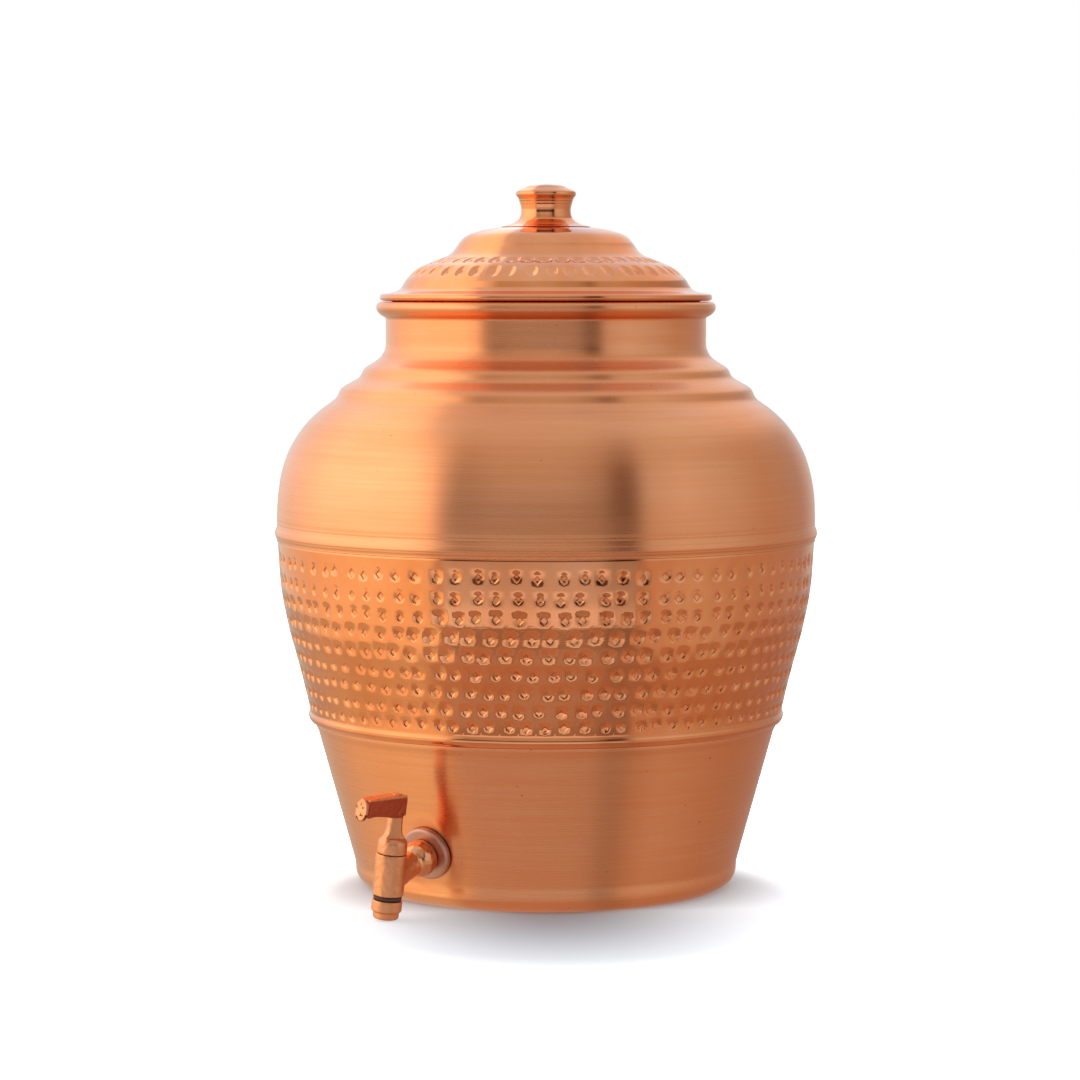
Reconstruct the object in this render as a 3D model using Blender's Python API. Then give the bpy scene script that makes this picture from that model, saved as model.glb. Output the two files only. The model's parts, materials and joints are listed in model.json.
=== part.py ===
"""A lidded copper water pot with a lever tap, modelled as its separate pieces.

The pot stands on the XY plane with its axis on +Z, and its tap points to -Y.
Lengths below are in millimetres; MM turns them into Blender's metres.
"""
import math

import bmesh
import bpy
from mathutils import Matrix, Vector

MM = 0.001

# ---- driving dimensions -------------------------------------------------
GAP = 0.3                # left between neighbouring pieces
SHEET = 1.0              # thickness of the pot's copper sheet
LID_SHEET = 0.9          # thickness of the lid's copper sheet
TURNED = 32              # sides of the large turned shells
SMALL = 20               # sides of the small turned pieces

BELLY_R = 148.8          # widest part of the belly, below the shoulder
SEAM_R = 150.0           # crest of the seam bead: half the pot's full width
SEAM_Z = 196.1
NECK_R = 88.3
NECK_TOP = 313.0
LIP_R = 93.6             # outside of the rolled lip
LIP_Z = 319.8            # height of the centre of the lip's roll
BAND_FOOT_R = 131.1      # hammered band just above its lower bead
FOOT_R = 96.5            # flat ring that the pot stands on
WIRE_R = 1.7             # wire rolled into the pot's lip
LID_WIRE_R = 0.75        # wire rolled into the lid's edge

LID_TOP_Z = 363.9
LID_EDGE_R = 91.7
LID_EDGE_Z = 325.2
COLLAR_R = 85.4          # ring under the lid, which sits inside the neck
COLLAR_LOW_Z = 311.0
KNOB_TOP_Z = 387.6
KNOB_RIM_R = 16.6
KNOB_BORE_TOP_Z = 376.0
SCREW_R = 3.0
SCREW_TOP_Z = 375.5

WALL_SLOPE = math.radians(15.5)   # lower wall, from the vertical
TAP_WALL_R = 111.13      # radius of the wall where the tap goes through it
TAP_WALL_Z = 31.6
ARM_LENGTH = 36.0        # wall to the barrel's axis, along the wall's normal
BARREL_DROP = 2.0        # the barrel's heights are counted from this far below the arm
BARREL_ROLL = math.radians(7.0)   # the barrel leans this far to +X
BARREL_R = 8.0
BARREL_LOW = -6.1        # ends of the barrel, along its own axis
BARREL_HIGH = 15.9
BARREL_BORE_R = 5.6
PLUG_R = 5.2
WATERWAY_R = 2.7
SHANK_R = 6.0
LEVER_WIDTH = 7.5
LEVER_YAW = math.radians(-9.0)    # the lever rests this far off straight out


# ---- placing and shaping ------------------------------------------------
def wall_frame():
    """Frame on the pot's wall at the tap: its Z is the wall's outward normal."""
    place = Matrix.Translation(Vector((0, -TAP_WALL_R, TAP_WALL_Z)) * MM)
    return place @ Matrix.Rotation(math.pi / 2 + WALL_SLOPE, 4, "X")


def barrel_frame():
    """Frame on the tap barrel's axis, a little below where the arm's axis meets it."""
    along = Vector((0, -math.cos(WALL_SLOPE), -math.sin(WALL_SLOPE))) * ARM_LENGTH
    centre = Vector((0, -TAP_WALL_R, TAP_WALL_Z)) + along
    lean = Matrix.Rotation(BARREL_ROLL, 4, "Y")
    return Matrix.Translation(centre * MM) @ lean @ Matrix.Translation((0, 0, -BARREL_DROP * MM))


def key_frame():
    """The barrel's frame, turned to where the lever rests."""
    return barrel_frame() @ Matrix.Rotation(LEVER_YAW, 4, "Z")


def offset(points, distance):
    """Move an open outline to the left of its direction, with mitred corners."""
    moved = []
    for i, (r, z) in enumerate(points):
        normals = []
        for a, b in ((i - 1, i), (i, i + 1)):
            if a >= 0 and b < len(points):
                dr, dz = points[b][0] - points[a][0], points[b][1] - points[a][1]
                length = math.hypot(dr, dz)
                normals.append((-dz / length, dr / length))
        nr = sum(n[0] for n in normals) / len(normals)
        nz = sum(n[1] for n in normals) / len(normals)
        scale = distance / (nr * nr + nz * nz)
        moved.append((r + nr * scale, z + nz * scale))
    return moved


def thicken(middle, thickness):
    """Closed outline of a sheet whose middle runs along these points."""
    half = thickness / 2
    return offset(middle, half) + offset(middle, -half)[::-1]


def arc(centre, radius_r, radius_z, start, end, steps):
    """Points on an elliptical arc, angles in degrees from +r towards +z."""
    angles = [math.radians(start + (end - start) * i / steps) for i in range(steps + 1)]
    return [(centre[0] + radius_r * math.cos(a), centre[1] + radius_z * math.sin(a))
            for a in angles]


def material(name, colour, roughness, metallic):
    made = bpy.data.materials.new(name)
    made.use_nodes = True
    shader = made.node_tree.nodes["Principled BSDF"]
    shader.inputs["Base Color"].default_value = (*colour, 1)
    shader.inputs["Roughness"].default_value = roughness
    shader.inputs["Metallic"].default_value = metallic
    return made


COPPER = (0.80, 0.42, 0.22)
DARK_COPPER = (0.62, 0.27, 0.13)
BRASS = (0.78, 0.57, 0.24)
BLACK = (0.02, 0.02, 0.02)


def add(name, bm, colour, roughness=0.3, metallic=1.0, place=Matrix()):
    """Turn a bmesh in millimetres into a named object with its own material."""
    bmesh.ops.scale(bm, vec=(MM, MM, MM), verts=bm.verts)
    bmesh.ops.recalc_face_normals(bm, faces=bm.faces)
    mesh = bpy.data.meshes.new(name)
    bm.to_mesh(mesh)
    bm.free()
    made = bpy.data.objects.new(name, mesh)
    made.matrix_world = place
    bpy.context.collection.objects.link(made)
    mesh.materials.append(material(name, colour, roughness, metallic))
    mesh.shade_smooth()
    mesh.set_sharp_from_angle(angle=math.radians(35))
    return made


def spin(outline, steps):
    """Turn an outline of (r, z) points round Z, as a closed solid.

    An outline that starts and ends on the axis closes itself there.
    """
    bm = bmesh.new()
    verts = [bm.verts.new((r, 0, z)) for r, z in outline]
    on_axis = outline[0][0] == 0 and outline[-1][0] == 0
    pairs = list(zip(verts, verts[1:]))
    if not on_axis:
        pairs.append((verts[-1], verts[0]))
    edges = [bm.edges.new(pair) for pair in pairs]
    bmesh.ops.spin(bm, geom=verts + edges, cent=(0, 0, 0), axis=(0, 0, 1),
                   angle=2 * math.pi, steps=steps)
    bmesh.ops.remove_doubles(bm, verts=bm.verts, dist=0.001)
    return bm


def turned(name, outline, colour, roughness=0.3, metallic=1.0, steps=SMALL,
           place=Matrix()):
    return add(name, spin(outline, steps), colour, roughness, metallic, place)


def cylinder(radius, low, high):
    return [(0, low), (radius, low), (radius, high), (0, high)]


def ring(inner, outer, low, high):
    return [(inner, low), (outer, low), (outer, high), (inner, high)]


def helper(name, outline, place, steps=SMALL):
    """A solid that only shapes another one, and isn't part of the pot."""
    made = turned(name, outline, COPPER, steps=steps, place=place)
    made.hide_render = True
    made.display_type = "WIRE"
    return made


def combine(target, other, operation):
    boolean = target.modifiers.new(other.name, "BOOLEAN")
    boolean.operation = operation
    boolean.solver = "EXACT"
    boolean.object = other


# ---- the pot ------------------------------------------------------------
def upper_shell():
    """Rolled lip, neck, two stepped collars, shoulder and the seam bead."""
    roll = LIP_R - NECK_R + SHEET
    roll_r = (roll - SHEET) / 2
    centre = (LIP_R - SHEET / 2 - roll_r, LIP_Z)
    lip = [(centre[0] - 0.9, 315.6), (centre[0] + 1.7, 317.1)]
    lip += arc(centre, roll_r, roll_r, 0, 180, 4)
    body = [(NECK_R, NECK_TOP), (NECK_R, 300.0), (89.4, 295.2), (92.9, 290.8),
            (99.3, 286.9), (101.7, 283.6), (104.0, 280.3), (110.1, 277.0),
            (114.0, 273.7), (116.4, 269.3), (124.1, 263.7), (132.7, 255.4),
            (138.9, 246.6), (143.4, 237.2), (146.6, 226.0), (BELLY_R - 0.1, 211.0),
            (BELLY_R, 200.5), (SEAM_R, SEAM_Z), (149.1, 193.2)]
    middle = lip + offset(body, -SHEET / 2)
    turned("upper_shell", thicken(middle, SHEET), COPPER, 0.3, steps=TURNED)
    inside = (centre[0], LIP_Z - 0.3)
    turned("rim_wire", arc(inside, WIRE_R, WIRE_R, 0, 315, 7), DARK_COPPER, 0.4,
           steps=TURNED)


def hammered_band():
    """The middle of the belly: its top goes up inside the upper shell."""
    lap_r = BELLY_R - SHEET - GAP - 0.1
    outside = [(lap_r, 205.0), (lap_r, 195.0), (148.4, 190.5), (146.9, 168.5),
               (144.1, 151.6), (140.1, 134.8), (135.2, 115.8),
               (BAND_FOOT_R, 99.3), (131.7, 95.6), (131.0, 93.3), (129.6, 91.6)]
    turned("hammered_band", thicken(offset(outside, -SHEET / 2), SHEET), COPPER, 0.25,
           steps=TURNED)


def lower_shell():
    """Plain conical bottom: its top goes up inside the band's lower bead."""
    slope = math.tan(WALL_SLOPE)
    high = (TAP_WALL_R + (84.0 - TAP_WALL_Z) * slope, 84.0)
    low = (TAP_WALL_R + (14.0 - TAP_WALL_Z) * slope, 14.0)
    outside = [(128.1, 104.0), (128.1, 90.2), high, low, (105.7, 9.0), (104.2, 5.0),
               (101.0, 1.9), (FOOT_R, 0.0), (0, 0.0)]
    shell = turned("lower_shell", thicken(offset(outside, -SHEET / 2), SHEET), COPPER,
                   0.32, steps=TURNED)
    hole = helper("tap_hole", cylinder(SHANK_R + GAP, -6, 6), wall_frame())
    combine(shell, hole, "DIFFERENCE")


# ---- the lid ------------------------------------------------------------
def lid_shell():
    """Domed lid in two tiers, with its edge rolled under round a wire."""
    screw_hole = SCREW_R + GAP
    edge = (LID_EDGE_R - 1.9, LID_EDGE_Z)
    outside = [(screw_hole, LID_TOP_Z), (24.0, LID_TOP_Z), (34.0, 362.3),
               (41.0, 360.7), (45.6, 358.0), (48.8, 354.1), (51.0, 350.0),
               (54.3, 347.5), (61.3, 345.3), (69.1, 342.0), (74.8, 337.6),
               (78.8, 332.6), (80.9, 329.7), (85.0, 328.0)]
    outside += arc(edge, 1.9, 1.9, 80, -100, 5)
    turned("lid_shell", thicken(offset(outside, -LID_SHEET / 2), LID_SHEET), COPPER, 0.2,
           steps=TURNED)
    wire = (edge[0] - 0.5, edge[1] + 0.1)
    turned("lid_edge_wire", arc(wire, LID_WIRE_R, LID_WIRE_R, 0, 300, 5), DARK_COPPER,
           0.4, steps=TURNED)


def lid_collar():
    """Plain ring soldered under the lid, which keeps it on the neck."""
    outline = [(COLLAR_R - 0.8, COLLAR_LOW_Z), (COLLAR_R, COLLAR_LOW_Z),
               (COLLAR_R, 325.9), (COLLAR_R - 0.8, 326.2)]
    turned("lid_collar", outline, COPPER, 0.3, steps=TURNED)


def lid_knob():
    """Waisted knob with a flared foot and a thread for its screw."""
    bore = SCREW_R + GAP
    foot = LID_TOP_Z + GAP
    outline = [(0, KNOB_BORE_TOP_Z), (bore, KNOB_BORE_TOP_Z), (bore, foot), (20.6, foot),
               (21.2, foot + 0.5), (17.0, 366.7), (14.8, 368.9), (13.7, 372.5),
               (14.0, 375.5), (15.1, 378.8), (16.1, 381.0), (KNOB_RIM_R, 382.2),
               (16.1, 383.3), (12.2, 385.4), (6.0, 387.1), (0, KNOB_TOP_Z)]
    turned("lid_knob", outline, COPPER, 0.18)


def knob_fixing():
    """Washer and round-headed screw under the lid's centre."""
    under = LID_TOP_Z - LID_SHEET - GAP
    turned("knob_washer", ring(SCREW_R + GAP, 8.0, under - 1.2, under), BRASS, 0.35)
    head = under - 1.2 - GAP
    outline = [(0, head - 3.4), (3.2, head - 3.1), (5.4, head - 1.6), (5.4, head),
               (SCREW_R, head), (SCREW_R, SCREW_TOP_Z), (0, SCREW_TOP_Z)]
    turned("knob_screw", outline, BRASS, 0.35)


# ---- the tap's fixed pieces ---------------------------------------------
def tap_body():
    """Threaded shank, round boss, arm and upright barrel, cast as one."""
    across, upright = wall_frame(), barrel_frame()
    arm_end = ARM_LENGTH - 3.0    # inside the barrel, above its lower end
    outline = [(0, -16.0), (SHANK_R - 0.6, -16.0), (SHANK_R, -15.4), (SHANK_R, 4.1),
               (8.4, 4.1), (9.3, 6.4), (9.6, 8.7), (9.3, 11.0), (8.4, 13.3),
               (7.0, 15.6), (6.6, 17.5), (6.6, 24.0), (7.0, 30.0), (7.0, arm_end),
               (0, arm_end)]
    body = turned("tap_body", outline, COPPER, 0.25, place=across)
    barrel = helper("barrel_form", cylinder(BARREL_R, BARREL_LOW, BARREL_HIGH), upright)
    combine(body, barrel, "UNION")
    bore = cylinder(BARREL_BORE_R, BARREL_LOW - 2, BARREL_HIGH + 2)
    combine(body, helper("plug_bore", bore, upright), "DIFFERENCE")
    inlet = cylinder(WATERWAY_R, -18.0, ARM_LENGTH - 2)
    combine(body, helper("inlet_bore", inlet, across, 16), "DIFFERENCE")


def tap_mounting():
    """Gaskets, washers and lock nut that clamp the shank in the wall."""
    place = wall_frame()
    hole = SHANK_R + GAP
    turned("tap_gasket_outer", ring(hole, 12.0, 0.3, 1.9), BLACK, 0.7, 0.0, place=place)
    turned("tap_washer_outer", ring(hole, 14.5, 2.2, 3.8), DARK_COPPER, 0.45,
           place=place)
    turned("tap_gasket_inner", ring(hole, 9.5, -4.6, -2.6), BLACK, 0.7, 0.0, place=place)
    turned("tap_washer_inner", ring(hole, 10.5, -6.3, -4.9), BRASS, 0.35, place=place)
    nut_corner = 10.4
    nut = turned("tap_lock_nut", cylinder(nut_corner, -12.6, -6.6), BRASS, 0.35, steps=6,
                 place=place)
    thread = helper("nut_thread", cylinder(hole, -14, -5), place)
    combine(nut, thread, "DIFFERENCE")


# ---- the tap's turning pieces -------------------------------------------
def tap_plug():
    """Hollow plug with two ring grooves and a port drilled across it."""
    place = key_frame()
    groove = PLUG_R - 1.1
    outline = [(0, 4.5), (WATERWAY_R, 4.5), (WATERWAY_R, -13.7), (PLUG_R, -13.7),
               (PLUG_R, -5.4), (groove, -5.4), (groove, -3.4), (PLUG_R, -3.4),
               (PLUG_R, 10.6), (groove, 10.6), (groove, 12.6), (PLUG_R, 12.6),
               (PLUG_R, 20.7), (0, 20.7)]
    plug = turned("tap_plug", outline, BRASS, 0.3, place=place)
    level = place @ Matrix.Translation((0, 0, BARREL_DROP * MM))
    port = helper("cross_port", cylinder(2.4, -9, 9),
                  level @ Matrix.Rotation(math.pi / 2, 4, "Y"), 12)
    combine(plug, port, "DIFFERENCE")
    for name, middle in (("plug_o_ring_lower", -4.4), ("plug_o_ring_upper", 11.6)):
        section = arc((groove + 0.75, middle), 0.55, 0.7, 0, 315, 7)
        turned(name, section, BLACK, 0.6, 0.0, place=place)


def lever_bar(place):
    """Side outline of the lever, extruded to its width, with an upright tip."""
    side = [(-4.0, 36.4), (4.5, 36.1), (12.0, 36.9), (19.5, 37.6), (22.6, 36.4),
            (24.4, 35.6), (25.9, 37.0), (26.1, 41.5), (24.8, 45.8), (22.6, 47.2),
            (-3.2, 47.7), (-4.3, 46.8)]
    bm = bmesh.new()
    verts = [bm.verts.new((-LEVER_WIDTH / 2, -out, up)) for out, up in side]
    face = bm.faces.new(verts)
    swept = bmesh.ops.extrude_face_region(bm, geom=[face])["geom"]
    moved = [item for item in swept if isinstance(item, bmesh.types.BMVert)]
    bmesh.ops.translate(bm, vec=(LEVER_WIDTH, 0, 0), verts=moved)
    bar = add("lever_bar", bm, DARK_COPPER, place=place)
    bar.hide_render = True
    bar.display_type = "WIRE"
    return bar


def tap_lever():
    """Lever, stem, cone and collar in one casting, socketed onto the plug."""
    place = key_frame()
    low, socket = BARREL_HIGH + GAP, PLUG_R + GAP
    outline = [(0, 21.0), (socket, 21.0), (socket, low), (7.5, low), (7.5, 22.8),
               (6.6, 24.2), (4.4, 26.2), (3.9, 27.6), (3.7, 38.5), (0, 38.5)]
    lever = turned("tap_lever", outline, DARK_COPPER, 0.2, place=place)
    combine(lever, lever_bar(place), "UNION")


def tap_nozzle():
    """Spout screwed onto the plug's lower end, with a rubber ring above it."""
    place = key_frame()
    socket = PLUG_R + GAP
    turned("nozzle_seal_ring", ring(socket, 7.4, -8.6, -6.4), BLACK, 0.6, 0.0,
           place=place)
    outline = [(socket, -8.9), (8.0, -8.9), (8.0, -14.9), (6.9, -15.3), (6.7, -18.2),
               (6.2, -18.9), (3.4, -18.9), (WATERWAY_R, -18.3), (WATERWAY_R, -14.0),
               (socket, -14.0)]
    turned("tap_nozzle", outline, COPPER, 0.25, place=place)


def main():
    for leftover in list(bpy.data.objects):
        bpy.data.objects.remove(leftover, do_unlink=True)
    upper_shell()
    hammered_band()
    lower_shell()
    lid_shell()
    lid_collar()
    lid_knob()
    knob_fixing()
    tap_body()
    tap_mounting()
    tap_plug()
    tap_lever()
    tap_nozzle()


main()
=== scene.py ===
"""The looks of the lidded copper water pot: fine meshes, materials, light and camera.

Lengths in the piece functions are millimetres in the pot's own frame (Z up, the tap
towards -Y); MM turns them into metres where a mesh is made.
"""
import json
import math

import bmesh
import bpy
import numpy as np
from mathutils import Matrix, Vector


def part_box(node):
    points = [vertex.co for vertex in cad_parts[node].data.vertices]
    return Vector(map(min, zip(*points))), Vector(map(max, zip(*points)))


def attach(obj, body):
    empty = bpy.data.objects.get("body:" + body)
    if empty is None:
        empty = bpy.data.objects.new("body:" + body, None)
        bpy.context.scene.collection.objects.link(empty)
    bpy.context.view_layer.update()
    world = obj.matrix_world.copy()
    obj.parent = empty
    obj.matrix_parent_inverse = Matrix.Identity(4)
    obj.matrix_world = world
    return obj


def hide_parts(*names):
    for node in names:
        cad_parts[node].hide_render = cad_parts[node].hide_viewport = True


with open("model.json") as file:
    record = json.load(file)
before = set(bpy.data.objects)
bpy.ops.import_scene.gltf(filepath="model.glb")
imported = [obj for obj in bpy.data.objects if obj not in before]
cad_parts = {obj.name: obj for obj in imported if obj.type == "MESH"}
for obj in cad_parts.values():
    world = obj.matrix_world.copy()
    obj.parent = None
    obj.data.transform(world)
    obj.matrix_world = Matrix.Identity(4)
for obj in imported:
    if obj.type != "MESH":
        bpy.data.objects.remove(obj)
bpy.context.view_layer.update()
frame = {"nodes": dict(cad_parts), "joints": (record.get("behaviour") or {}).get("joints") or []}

MM = 0.001
MERGE = 1.5e-5              # metres; points of one piece closer than this become one
SHEET = 1.0                 # copper sheet of the pot
LID_SHEET = 0.9
VIEW_AZIMUTH = math.radians(34.2)   # the camera stands this far round from the tap

# Sizes read from the CAD frame, in millimetres
SEAM_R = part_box("upper_shell")[1][0] / MM
LIP_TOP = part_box("upper_shell")[1][2] / MM
BAND_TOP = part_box("hammered_band")[1][2] / MM
LOWER_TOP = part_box("lower_shell")[1][2] / MM
LID_EDGE_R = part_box("lid_shell")[1][0] / MM
KNOB_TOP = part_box("lid_knob")[1][2] / MM


# ---- outlines and meshes ----
def curve(points, step):
    """A smooth (Catmull-Rom) curve through the points, sampled about every step mm."""
    p = [np.array(q, float) for q in points]
    p = [2 * p[0] - p[1]] + p + [2 * p[-1] - p[-2]]
    out = []
    for a, b, c, d in zip(p, p[1:], p[2:], p[3:]):
        count = max(1, round(float(np.linalg.norm(c - b)) / step))
        for t in np.arange(count) / count:
            out.append(0.5 * (2 * b + (c - a) * t + (2 * a - 5 * b + 4 * c - d) * t ** 2
                              + (3 * b - a - 3 * c + d) * t ** 3))
    out.append(p[-2])
    return np.array(out)


def arc(centre, radius_r, radius_z, start, end, steps):
    """Points on an elliptical arc, angles in degrees from +r towards +z."""
    a = np.radians(np.linspace(start, end, steps + 1))
    return np.column_stack((centre[0] + radius_r * np.cos(a), centre[1] + radius_z * np.sin(a)))


def normals_of(line):
    """Unit normals to the left of an open line of (r, z) points."""
    along = np.gradient(line, axis=0)
    along /= np.linalg.norm(along, axis=1)[:, None]
    return np.column_stack((-along[:, 1], along[:, 0]))


def to_object(name, verts, faces, place=None):
    """A linked, smooth-shaded object from points in millimetres, moved by place."""
    mesh = bpy.data.meshes.new(name)
    mesh.from_pydata([tuple(v) for v in np.asarray(verts) * MM], [], faces)
    bm = bmesh.new()
    bm.from_mesh(mesh)
    bmesh.ops.remove_doubles(bm, verts=bm.verts, dist=MERGE)
    bmesh.ops.recalc_face_normals(bm, faces=bm.faces)
    if place is not None:
        bmesh.ops.transform(bm, matrix=place, verts=bm.verts)
    bm.to_mesh(mesh)
    bm.free()
    mesh.shade_smooth()
    made = bpy.data.objects.new(name, mesh)
    bpy.context.collection.objects.link(made)
    return made


def turned(name, outline, columns, closed=True, place=None, sharp=None, shift=None):
    """Turn an outline round Z. shift(angles, outline) moves its points out and up."""
    outline = np.asarray(outline, float)
    angles = np.arange(columns) * 2 * math.pi / columns
    radii = np.repeat(outline[:, 0][:, None], columns, axis=1)
    heights = np.repeat(outline[:, 1][:, None], columns, axis=1)
    if shift is not None:
        dr, dz = shift(angles, outline)
        radii, heights = radii + dr, heights + dz
    verts = np.stack((radii * np.cos(angles), radii * np.sin(angles), heights), axis=-1)
    rows = len(outline)
    faces = []
    for i in range(rows if closed else rows - 1):
        a, b = i * columns, (i + 1) % rows * columns
        faces += [(a + j, a + (j + 1) % columns, b + (j + 1) % columns, b + j)
                  for j in range(columns)]
    made = to_object(name, verts.reshape(-1, 3), faces, place)
    if sharp is not None:
        made.data.set_sharp_from_angle(angle=math.radians(sharp))
    return made


def show(piece, body, slot, stuff, *nodes):
    """Give a piece its material and body, and hide the CAD nodes it stands for."""
    piece.data.materials.clear()
    piece.data.materials.append(stuff)
    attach(piece, body)
    if nodes:
        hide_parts(*nodes)


# ---- materials ----
def new_material(name, colour, roughness, metallic=1.0):
    made = bpy.data.materials.new(name)
    made.use_nodes = True
    tree = made.node_tree
    shader = tree.nodes["Principled BSDF"]
    shader.inputs["Base Color"].default_value = (*colour, 1)
    shader.inputs["Roughness"].default_value = roughness
    shader.inputs["Metallic"].default_value = metallic
    return made, tree, shader


def node(tree, kind, **values):
    """Add a node; keys that name an input set it or, given a socket, link to it."""
    made = tree.nodes.new(kind)
    for key, value in values.items():
        if hasattr(made, key):
            setattr(made, key, value)
            continue
        socket = made.inputs[int(key[1:])] if key[1:].isdigit() else made.inputs[
            key.replace("_", " ")]
        if isinstance(value, bpy.types.NodeSocket):
            tree.links.new(value, socket)
        else:
            socket.default_value = value
    return made


def feed(shader, name, value):
    shader.id_data.links.new(value, shader.inputs[name])


def bumped(tree, shader, height, strength, distance):
    bump = node(tree, "ShaderNodeBump", Strength=strength, Distance=distance, Height=height)
    feed(shader, "Normal", bump.outputs[0])


def object_place(tree):
    return node(tree, "ShaderNodeTexCoord").outputs["Object"]


def math_node(tree, operation, a, b=0.0):
    return node(tree, "ShaderNodeMath", operation=operation, i0=a, i1=b).outputs[0]


def ramp(tree, factor, stops):
    """A colour ramp; a stop is (position, grey) or (position, (r, g, b))."""
    made = node(tree, "ShaderNodeValToRGB", i0=factor)
    elements = made.color_ramp.elements
    while len(elements) < len(stops):
        elements.new(0.5)
    for element, (place, value) in zip(elements, stops):
        element.position = place
        element.color = (*value, 1) if isinstance(value, tuple) else (value,) * 3 + (1,)
    return made.outputs[0]


def mix_colour(tree, factor, a, b, blend="MIX"):
    a, b = [(*c, 1) if isinstance(c, tuple) else c for c in (a, b)]
    return node(tree, "ShaderNodeMix", data_type="RGBA", blend_type=blend, i0=factor,
                i6=a, i7=b).outputs[2]


def noise(tree, where, scale, detail=2.0, roughness=0.5):
    return node(tree, "ShaderNodeTexNoise", Vector=where, Scale=scale, Detail=detail,
                Roughness=roughness).outputs[0]


def round_the_axis(tree, metres_round, metres_up):
    """Texture places that run round the pot: long round it, short up it."""
    x, y, z = node(tree, "ShaderNodeSeparateXYZ", i0=object_place(tree)).outputs
    flat = node(tree, "ShaderNodeCombineXYZ", i0=x, i1=y).outputs[0]
    unit = node(tree, "ShaderNodeVectorMath", operation="NORMALIZE", i0=flat).outputs[0]
    ring = node(tree, "ShaderNodeVectorMath", operation="SCALE", i0=unit,
                Scale=1 / metres_round).outputs[0]
    up = math_node(tree, "MULTIPLY", z, 1 / metres_up)
    lifted = node(tree, "ShaderNodeCombineXYZ", i2=up).outputs[0]
    return node(tree, "ShaderNodeVectorMath", operation="ADD", i0=ring,
                i1=lifted).outputs[0]


COPPER = (0.90, 0.325, 0.125)
COPPER_PALE = (0.93, 0.38, 0.165)
COPPER_DEEP = (0.82, 0.255, 0.085)
COPPER_PINK = (0.90, 0.345, 0.14)
COPPER_BROWN = (0.87, 0.30, 0.11)
WASHER_PINK = (0.70, 0.36, 0.25)
# painted shade: the dark red painted on the lever's bar, below its top edge, stands in for a
# dark reflection
LEVER_PAINTED_SHADE = (0.50, 0.085, 0.035)
PIT_BROWN = (0.35, 0.10, 0.04)
PIT_DARK = (0.22, 0.05, 0.02)
BRASS_DARK = (0.62, 0.40, 0.15)
BRASS_PALE = (0.82, 0.57, 0.24)


def brushed_copper():
    """Satin copper, brushed round the pot: streaks, fine lines and a few pits."""
    made, tree, shader = new_material("brushed_copper", COPPER, 0.27)
    lines = noise(tree, round_the_axis(tree, 0.35, 0.00032), 1.0, 3.0, 0.7)
    streaks = noise(tree, round_the_axis(tree, 0.8, 0.0022), 1.0, 2.0)
    place = object_place(tree)
    cloud = noise(tree, place, 9.0, 3.0)
    shades = math_node(tree, "ADD", math_node(tree, "MULTIPLY", streaks, 0.4),
                       math_node(tree, "MULTIPLY", cloud, 0.6))
    tint = ramp(tree, shades, [(0.3, COPPER_BROWN), (0.5, COPPER), (0.72, COPPER_PALE)])
    pit = ramp(tree, noise(tree, place, 420.0, 1.0), [(0.0, 0.0), (0.79, 0.0), (0.83, 1.0)])
    feed(shader, "Base Color", mix_colour(tree, pit, tint, PIT_BROWN))
    feed(shader, "Roughness", ramp(tree, lines, [(0.3, 0.26), (0.7, 0.30)]))
    shader.inputs["Anisotropic"].default_value = 0.9
    shader.inputs["Anisotropic Rotation"].default_value = 0.25
    tangent = node(tree, "ShaderNodeTangent", direction_type="RADIAL", axis="Z")
    feed(shader, "Tangent", tangent.outputs[0])
    bumped(tree, shader, lines, 0.1, 0.00004)
    return made


def polished_copper(name, roughness):
    """Bright copper with a faint haze, soft colour clouds and fine turning lines."""
    made, tree, shader = new_material(name, COPPER, roughness)
    place = object_place(tree)
    cloud = noise(tree, place, 22.0, 4.0, 0.6)
    feed(shader, "Base Color", ramp(tree, cloud, [(0.3, COPPER_DEEP), (0.65, COPPER),
                                                  (0.9, COPPER_PALE)]))
    haze = noise(tree, place, 60.0, 3.0)
    feed(shader, "Roughness",
         ramp(tree, haze, [(0.3, roughness * 0.75), (0.75, roughness * 1.5)]))
    lines = noise(tree, round_the_axis(tree, 0.25, 0.0005), 1.0, 2.0)
    bumped(tree, shader, lines, 0.25, 0.00005)
    return made


def share_along(tree, place, way, start, length):
    """How far a place lies along a way from a start, as a share of the length."""
    reach = node(tree, "ShaderNodeVectorMath", operation="DOT_PRODUCT", i0=place,
                 i1=tuple(way)).outputs["Value"]
    return math_node(tree, "MULTIPLY", math_node(tree, "SUBTRACT", reach, way @ start),
                     1 / length)


def lever_painted_shade_and_wear(tree, place):
    """Two masks: painted shade on the lever's bar without its top edge, and its worn, pitted end
    pad.
    """
    outwards = KEY.to_3x3() @ Vector((0, -1, 0))
    out = share_along(tree, place, outwards, KEY.translation, LEVER_REACH)
    bar = ramp(tree, out, [(PAD_FROM, 1.0), (PAD_FROM + PAINTED_SHADE_EDGE, 0.0)])
    up = share_along(tree, place, TURN_AXIS, KEY.translation, LEVER_REACH)
    high = ramp(tree, up, [(0.70, 0.0), (0.725, 1.0), (0.920, 1.0), (0.935, 0.0)])
    return math_node(tree, "MULTIPLY", bar, high), math_node(tree, "SUBTRACT", 1.0, bar)


def boss_haze(tree, place, roughness):
    """Roughness of the tap's body: polished at the boss by the wall, dull at the barrel."""
    out = share_along(tree, place, TAP_OUT, TAP_HOLE * MM, ARM_LENGTH * MM)
    return ramp(tree, out, [(0.35, 0.12), (0.62, roughness)])


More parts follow.
